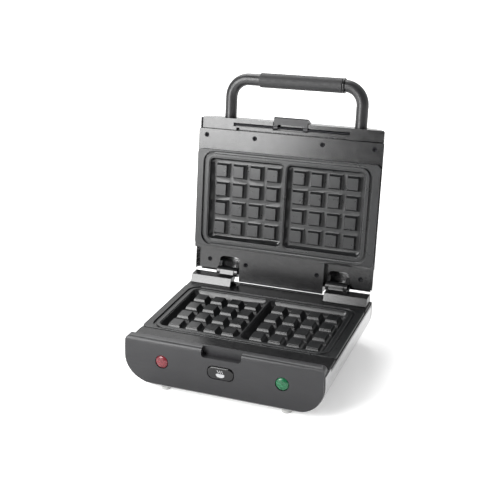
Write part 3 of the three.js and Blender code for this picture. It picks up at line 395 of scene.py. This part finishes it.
def addition(name, node, mesh, material, place=Matrix()):
    """A drawn mesh that rides with a CAD node's body."""
    bmesh.ops.recalc_face_normals(mesh, faces=mesh.faces)
    data = bpy.data.meshes.new(name)
    mesh.to_mesh(data)
    mesh.free()
    data.materials.append(material)
    made = bpy.data.objects.new(name, data)
    made.matrix_world = place
    bpy.context.scene.collection.objects.link(made)
    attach(made, BODY[node])
    return made


def piece(name, node, mesh, material, place=Matrix()):
    """A drawn mesh in place of a CAD node, on the node's body."""
    made = addition(name, node, mesh, material, place)
    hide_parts(node)
    shade_smooth(made)
    return made


def ring_of(mesh, points):
    return [mesh.verts.new(Vector(point)) for point in points]


def circle(mesh, radius, height, sides):
    """Ring of points about +Z; radius and height are in millimetres."""
    step = 2 * math.pi / sides
    return ring_of(mesh, [(radius * MM * math.cos(step * k), radius * MM * math.sin(step * k),
                           height * MM) for k in range(sides)])


def skin(mesh, lower, upper):
    """A band of faces between two rings of as many points."""
    count = len(lower)
    for i in range(count):
        j = (i + 1) % count
        mesh.faces.new((lower[i], lower[j], upper[j], upper[i]))


def stack(mesh, rings, capped=True):
    """Skins rings one after another, with a face on each end if it is capped."""
    for lower, upper in zip(rings, rings[1:]):
        skin(mesh, lower, upper)
    if capped:
        mesh.faces.new(rings[0])
        mesh.faces.new(rings[-1])


def lathe(profile, sides=48, closed=False):
    """Turns (radius, height) points, in millimetres, about +Z; a closed profile is a ring."""
    mesh = bmesh.new()
    rings = [circle(mesh, radius, height, sides) for radius, height in profile]
    if closed:
        skin(mesh, rings[-1], rings[0])
    stack(mesh, rings, not closed)
    return mesh


def rounded(length, radius, inner, outer, steps=6):
    """Closed profile of a sleeve, from height 0, whose outer rims are rounded."""
    arc = [math.pi / 2 * k / steps for k in range(steps + 1)]
    return ([(inner, 0)]
            + [(outer - radius + radius * math.sin(a), radius - radius * math.cos(a))
               for a in arc]
            + [(outer - radius + radius * math.cos(a), length - radius + radius * math.sin(a))
               for a in arc]
            + [(inner, length)])


def turned_to(direction, place):
    """Matrix that takes +Z to a direction and the origin to a place."""
    turn = Vector(direction).to_track_quat("Z", "Y").to_matrix().to_4x4()
    return Matrix.Translation(place) @ turn


def drawn_screw(name):
    # Countersunk head with a cross recess, on a plain shank.
    low, high = shut_box(name)
    mesh = bmesh.new()
    sides = 24
    head = 2.7
    arm = 1.7
    slot = 0.42
    depth = 1.3
    taper = 0.6
    rim = circle(mesh, head, 0, sides)
    cross = [(arm, slot), (slot, slot), (slot, arm), (-slot, arm), (-slot, slot), (-arm, slot),
             (-arm, -slot), (-slot, -slot), (-slot, -arm), (slot, -arm), (slot, -slot),
             (arm, -slot)]
    mouth = ring_of(mesh, [(x * MM, y * MM, 0) for x, y in cross])
    floor = ring_of(mesh, [(taper * x * MM, taper * y * MM, -depth * MM) for x, y in cross])
    edges = [mesh.edges.new((loop[i], loop[i - 1])) for loop in (rim, mouth)
             for i in range(len(loop))]
    bmesh.ops.triangle_fill(mesh, use_beauty=True, edges=edges)
    skin(mesh, mouth, floor)
    mesh.faces.new(floor)
    shank = [circle(mesh, radius, height, sides)
             for radius, height in ((2.8, -0.3), (2.8, -0.6), (1.5, -1.5), (1.5, -6.3))]
    stack(mesh, [rim] + shank, False)
    mesh.faces.new(shank[-1])
    centre = (low + high) / 2
    place = OPENED @ turned_to((0, 0, -1), Vector((centre.x, centre.y, low.z)))
    piece("countersunk_" + name, name, mesh, BLACK_OXIDE, place)


def drawn_lens(name, material):
    # Domed cap with a step round its rim.
    low, _, centre = cad_box(name)
    mesh = lathe([(6.3, -10.3), (6.3, -5.4), (7.45, -5.0), (7.45, -2.9), (7.2, -2.2),
                  (6.5, -1.5), (5.2, -0.9), (3.6, -0.45), (1.8, -0.15), (0.3, -0.03)], 40)
    place = turned_to((0, -1, 0), Vector((centre.x, low.y, centre.z)))
    piece("domed_" + name, name, mesh, material, place)


def drawn_grip():
    # Phenolic sleeve with rounded ends, and the collar that holds it.
    for name, node, material, rim in (
            ("handle_grip_sleeve", "handle_grip", GRIP, 1.1),
            ("handle_grip_collar", "grip_end_ring", BLACK_PBT, 0.9)):
        low, high, centre = cad_box(node)
        size = (high - low) / MM
        mesh = lathe(rounded(size.x, rim, GRIP_BORE, size.y / 2), 56, True)
        piece(name, node, mesh, material,
              turned_to((1, 0, 0), Vector((low.x, centre.y, centre.z))))


def drawn_tube():
    # Bent steel tube: two legs, two bends and the bar, swept as one round section.
    bar = cad_box("handle_grip")[2]
    leg = max(v.co.x for v in NODES["handle_tube"].data.vertices) - TUBE_RADIUS * MM
    down = Vector((0, math.cos(OPEN), -math.sin(OPEN)))
    bend = TUBE_BEND * MM
    steps = 16
    path = []
    for side in (-1, 1):
        turn = []
        for k in range(steps + 1):
            a = math.pi / 2 * k / steps
            turn.append(Vector((side * (leg - bend * (1 - math.sin(a))), bar.y, bar.z))
                        + down * bend * (1 - math.cos(a)))
        turn.append(Vector((side * leg, bar.y, bar.z)) + down * TUBE_LEG * MM)
        path += turn[::-1] if side < 0 else turn
    curve = bpy.data.curves.new("bent_handle_tube", "CURVE")
    curve.dimensions = "3D"
    curve.bevel_depth = (TUBE_RADIUS - 0.02) * MM
    curve.bevel_resolution = 10
    curve.use_fill_caps = True
    line = curve.splines.new("POLY")
    line.points.add(len(path) - 1)
    for point, place in zip(line.points, path):
        point.co = (*place, 1)
    curve.materials.append(COATED_TUBE)
    tube = bpy.data.objects.new("bent_handle_tube", curve)
    bpy.context.scene.collection.objects.link(tube)
    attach(tube, BODY["handle_tube"])
    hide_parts("handle_tube")


def flat_copy(name):
    """The node's solid as a mesh of whole flat faces."""
    mesh = bmesh.new()
    mesh.from_mesh(NODES[name].data)
    bmesh.ops.remove_doubles(mesh, verts=mesh.verts, dist=WELD)
    bmesh.ops.dissolve_limit(mesh, angle_limit=FLAT, verts=mesh.verts, edges=mesh.edges)
    return mesh


def drawn_plate(name):
    # Every outward edge of the casting is rounded; the coating catches the light along it.
    mesh = flat_copy(name)
    outward = [edge for edge in mesh.edges if len(edge.link_faces) == 2
               and edge.calc_face_angle_signed() > SHARP]
    bmesh.ops.bevel(mesh, geom=outward, offset=PLATE_RADIUS * MM, segments=3, profile=0.5,
                    affect="EDGES", clamp_overlap=False)
    piece("cast_" + name, name, mesh, NONSTICK, NODES[name].matrix_world.copy())


def drawn_front_panel():
    # The moulding's outer face turns into its sides and lower edge with a soft radius.
    mesh = flat_copy("front_panel")
    low, high, _ = cad_box("front_panel")
    rim = []
    for edge in mesh.edges:
        if len(edge.link_faces) != 2 or edge.calc_face_angle() < SHARP:
            continue
        middle = (edge.verts[0].co + edge.verts[1].co) / 2
        from_top = (high.z - middle.z) / MM
        from_side = (high.x - abs(middle.x)) / MM
        on_face = middle.y < low.y + FACE_REACH * MM and from_top > EDGE_BAND
        inside = (from_side > BODY_CORNER and middle.z > low.z + EDGE_BAND * MM
                  and from_top > NOTCH_DEPTH)
        hole = (abs(abs(middle.x) - LAMP_X * MM) < LAMP_HALF * MM
                and LAMP_LOW * MM < middle.z < LAMP_HIGH * MM)
        notch = abs(middle.x) < NOTCH_HALF * MM and from_top < NOTCH_DEPTH
        if on_face and not inside and not hole and not notch:
            rim.append(edge)
    bmesh.ops.bevel(mesh, geom=rim, offset=FACE_RADIUS * MM, segments=5, profile=0.5,
                    affect="EDGES", clamp_overlap=True)
    made = addition("moulded_front_panel", "front_panel", mesh, GREY_ABS)
    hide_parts("front_panel")
    soften(made, 0.5, 2, 30)


def capsule(half_x, half_z, corner, depth):
    """Rounded outline in x and z, at a depth behind the front, all in millimetres."""
    points = []
    for quarter, (sx, sz) in enumerate(((1, 1), (-1, 1), (-1, -1), (1, -1))):
        for k in range(9):
            a = math.pi / 2 * (quarter + k / 8)
            points.append(((sx * (half_x - corner) + corner * math.cos(a)) * MM, depth * MM,
                           (sz * (half_z - corner) + corner * math.sin(a)) * MM))
    return points


def drawn_button():
    # Domed gloss cap on a stem that reaches back to the switch.
    low, high, centre = cad_box("push_button")
    half = (high - low) / 2 / MM
    mesh = bmesh.new()
    dome = ((0, 6.5), (0, 1.6), (0.15, 1.05), (0.6, 0.6), (1.5, 0.3), (3, 0.14), (5, 0.1))
    stack(mesh, [ring_of(mesh, capsule(half.x - inset, half.z - inset,
                                       half.z - 0.8 - inset, depth)) for inset, depth in dome])
    stem = lathe([(STEM_RADIUS, 0), (STEM_RADIUS, STEM_LENGTH)], 20)
    stem_data = bpy.data.meshes.new("stem")
    bmesh.ops.transform(stem, matrix=turned_to((0, 1, 0), Vector((0, STEM_START * MM, 0))),
                        verts=stem.verts)
    stem.to_mesh(stem_data)
    stem.free()
    mesh.from_mesh(stem_data)
    bpy.data.meshes.remove(stem_data)
    piece("domed_push_button", "push_button", mesh, GLOSS_ABS,
          Matrix.Translation(Vector((centre.x, low.y, centre.z))))


def drawn_mark():
    # Pale printed mark on the cap: three strokes of steam over a waffle.
    low, _, centre = cad_box("push_button")
    strokes = []
    for x in (-2.4, 0, 2.4):
        left = [(x - 0.45 + 0.5 * math.sin(1.3 * z), z) for z in STEAM]
        right = [(x + 0.45 + 0.5 * math.sin(1.3 * z), z) for z in reversed(STEAM)]
        strokes.append(left + right)
    strokes.append([(-5, -0.6), (-4.6, -2.6), (-3, -4), (0, -4.4), (3, -4), (4.6, -2.6),
                    (5, -0.6), (3.4, 0), (-3.4, 0)])
    mesh = bmesh.new()
    for stroke in strokes:
        stack(mesh, [ring_of(mesh, [(x * MM, depth * MM, z * MM) for x, z in stroke])
                     for depth in (0.03, 0.12)])
    addition("printed_mark", "push_button", mesh, PAD_PRINT,
             Matrix.Translation(Vector((centre.x, low.y, centre.z))))


def drawn_spring():
    # Round-wire coil behind the cap; the real one shortens as the button goes in, this one keeps
    # its length.
    low, high, centre = cad_box("button_spring")
    wire = 0.42 * MM
    radius = (high.x - low.x) / 2 - wire
    start_y = low.y + wire
    length = high.y - low.y - 2 * wire
    mesh = bmesh.new()
    rings = []
    turns = 4
    steps = 96
    for k in range(steps + 1):
        a = 2 * math.pi * turns * k / steps
        out = Vector((math.cos(a), 0, math.sin(a)))
        middle = Vector((centre.x, start_y + length * k / steps, centre.z)) + out * radius
        rings.append(ring_of(mesh, [middle + out * wire * math.cos(math.pi * j / 4)
                                    + Vector((0, wire * math.sin(math.pi * j / 4), 0))
                                    for j in range(8)]))
    stack(mesh, rings)
    spring = piece("coiled_button_spring", "button_spring", mesh, ZINC)
    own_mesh(spring)


def drawn_foot(name):
    # Moulded foot with a rounded tread edge.
    low, _, centre = cad_box(name)
    mesh = lathe([(5.0, 0), (5.45, 0.12), (5.75, 0.45), (5.83, 1.0), (5.85, 5.0)], 40)
    piece("moulded_" + name, name, mesh, FOOT,
          Matrix.Translation(Vector((centre.x, centre.y, low.z))))


def drawn_lip():
    # A lip along the rear edge of the lid frame, between the hinges, square while the lid is shut.
    frame_low = shut_box("lid_frame")[0]
    rear = HINGE.y + LIP_SEAT * MM
    low = Vector((-LIP_HALF * MM, rear - 0.4 * MM, frame_low.z + 0.1 * MM))
    high = Vector((LIP_HALF * MM, rear + 2.4 * MM, frame_low.z + 3 * MM))
    mesh = bmesh.new()
    bmesh.ops.create_cube(mesh, size=1)
    bmesh.ops.transform(mesh, verts=mesh.verts, matrix=Matrix.Translation((low + high) / 2)
                        @ Matrix.Diagonal((*(high - low), 1)))
    soften(addition("lid_rear_lip", "lid_frame", mesh, BLACK_PBT, OPENED), 0.2)


drawn_plate("lower_grill_plate")
drawn_plate("upper_grill_plate")
drawn_front_panel()
drawn_lip()
drawn_button()
drawn_mark()
drawn_spring()
drawn_lens("red_lamp_lens", RED)
drawn_lens("green_lamp_lens", GREEN)
drawn_tube()
drawn_grip()
for number in range(1, 9):
    drawn_screw("lid_screw_" + str(number))
for side in ("left", "right"):
    for end in ("front", "rear"):
        drawn_foot(end + "_" + side + "_foot")

# ---------------------------------------------------------------- studio
def background_paper():
    # Matt white paper with painted light: it glows, weakly near the object and more strongly away
    # from it, so the far paper looks evenly lit, as in a light tent.
    made, tree, shader = start("white_background_paper", "#ffffff", 0.9)
    shader.inputs["Specular IOR Level"].default_value = 0.1
    shader.inputs["Emission Color"].default_value = linear("#ffffff")
    place = add(tree, "ShaderNodeTexCoord")
    reach = add(tree, "ShaderNodeVectorMath", {0: place.outputs["Object"]}, operation="LENGTH")
    # painted light: emission strength grows with distance from the object's origin
    painted_glow = add(tree, "ShaderNodeMapRange", {"Value": reach.outputs["Value"], "From Min": 0.12,
                                            "From Max": 0.7, "To Min": 0.22, "To Max": 0.75})
    tree.links.new(painted_glow.outputs["Result"], shader.inputs["Emission Strength"])
    return made


def studio_floor():
    bpy.ops.mesh.primitive_plane_add(size=24, location=(0, 0, 0))
    floor = bpy.context.object
    floor.name = "studio_floor"
    floor.data.materials.append(background_paper())


def softbox(name, place, aim, width, height, power):
    data = bpy.data.lights.new(name, "AREA")
    data.shape = "RECTANGLE"
    data.size = width
    data.size_y = height
    data.energy = power
    lamp = bpy.data.objects.new(name, data)
    lamp.location = place
    lamp.rotation_mode = "QUATERNION"
    lamp.rotation_quaternion = (Vector(place) - Vector(aim)).to_track_quat("Z", "Y")
    lamp.visible_camera = False
    bpy.context.scene.collection.objects.link(lamp)


ROOM = 0.05                       # brightness of the world in front of the object
TENT = 0.9                        # and behind it


def studio_world():
    # A pale tent behind the object and a dim room in front of it.
    world = bpy.data.worlds.new("studio_world")
    bpy.context.scene.world = world
    world.use_nodes = True
    tree = world.node_tree
    place = add(tree, "ShaderNodeTexCoord")
    parts = add(tree, "ShaderNodeSeparateXYZ", {0: place.outputs["Generated"]})
    tent = add(tree, "ShaderNodeMapRange", {"Value": parts.outputs["Y"], "From Min": -0.5,
                                            "From Max": 0.5, "To Min": ROOM, "To Max": TENT})
    seen = add(tree, "ShaderNodeLightPath")
    level = add(tree, "ShaderNodeMix", {"Factor": seen.outputs["Is Camera Ray"],
                                        "A": tent.outputs["Result"], "B": 1.0})
    backdrop = tree.nodes["Background"]
    backdrop.inputs["Color"].default_value = linear("#ffffff")
    tree.links.new(level.outputs["Result"], backdrop.inputs["Strength"])


studio_floor()
studio_world()
softbox("left_softbox", (-0.79, -1.2, 0.80), (0, 0.1, 0.45), 0.8, 1.15, 36)
softbox("overhead_softbox", (-0.7, 0.9, 1.7), (0, 0, 0.1), 1.3, 1.3, 26)
bpy.context.scene.view_settings.view_transform = "Standard"
